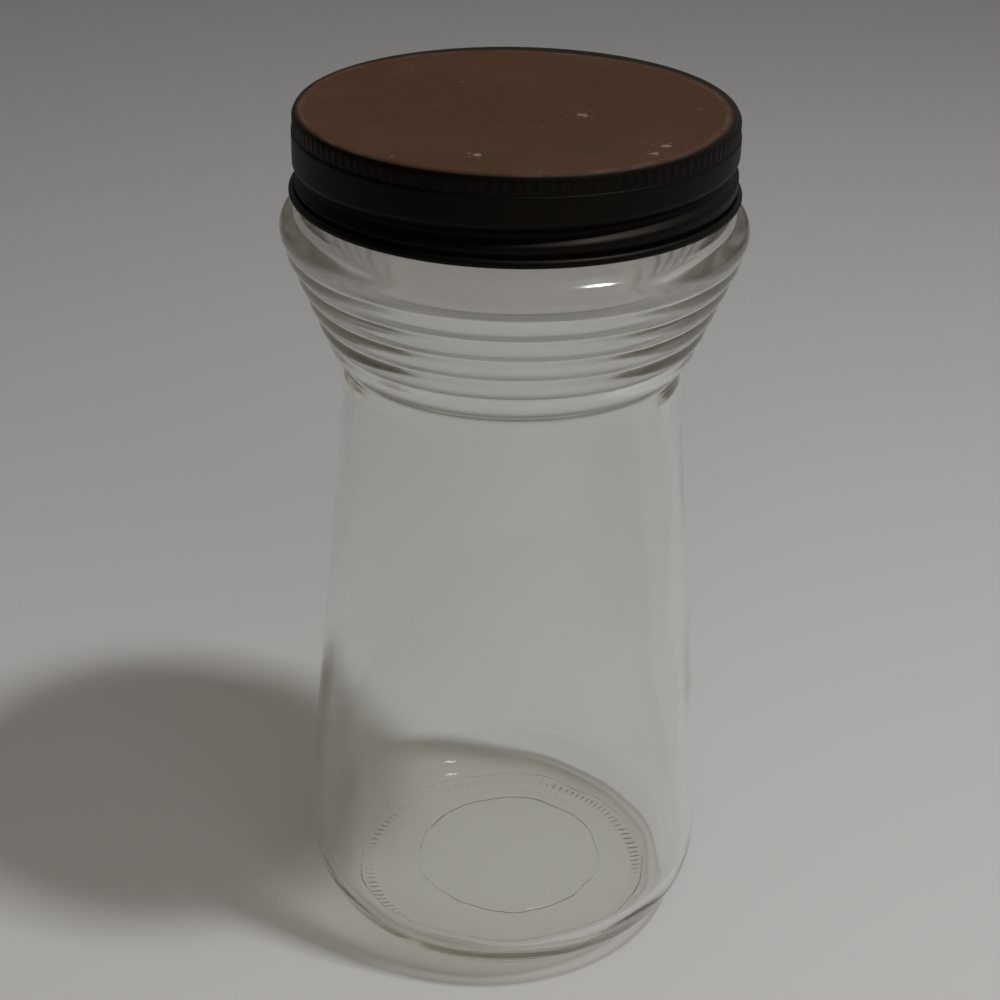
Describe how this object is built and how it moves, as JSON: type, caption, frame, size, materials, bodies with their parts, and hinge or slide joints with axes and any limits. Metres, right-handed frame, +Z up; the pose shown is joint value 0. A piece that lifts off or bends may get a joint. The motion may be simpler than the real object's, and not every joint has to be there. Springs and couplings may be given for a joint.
{
  "type": "spice jar",
  "caption": "Clear glass spice jar with a tapered body, narrow waist, moulded rings and a flared shoulder, closed by a dark metal screw cap with a paperboard liner.",
  "frame": {"origin": "centre of the bearing ring that the jar stands on", "axes": "+Z up along the jar's axis; the thread's front crossing faces -Y, where the picture's camera stands"},
  "size_m": [0.0684, 0.0684, 0.1354],
  "materials": {
    "glass": "clear, faint grey-green tint",
    "cap_lacquer": "aged dark brown lacquer on tinplate, matt on top and satin on the skirt",
    "paperboard": "matt grey-brown pulpboard",
    "coated_paper": "off-white coated paper"
  },
  "bodies": {
    "jar": {"jar_glass": "glass"},
    "liner": {"liner_board": "paperboard", "liner_facing": "coated_paper"},
    "lid": {"lid_shell": "cap_lacquer"}
  },
  "joints": [
    {"name": "lid_lift", "type": "slide", "parent": "jar", "child": "liner", "axis": [0, 0, 1], "range_m": [0, 0.0212]},
    {"name": "lid_turn", "type": "hinge", "parent": "liner", "child": "lid", "pos_m": [0, 0, 0.1354], "axis": [0, 0, 1], "range_deg": [0, 1800]}
  ],
  "couplings": [
    {"joint": "lid_lift", "follows": "lid_turn", "m_per_rad": 0.0006737}
  ]
}
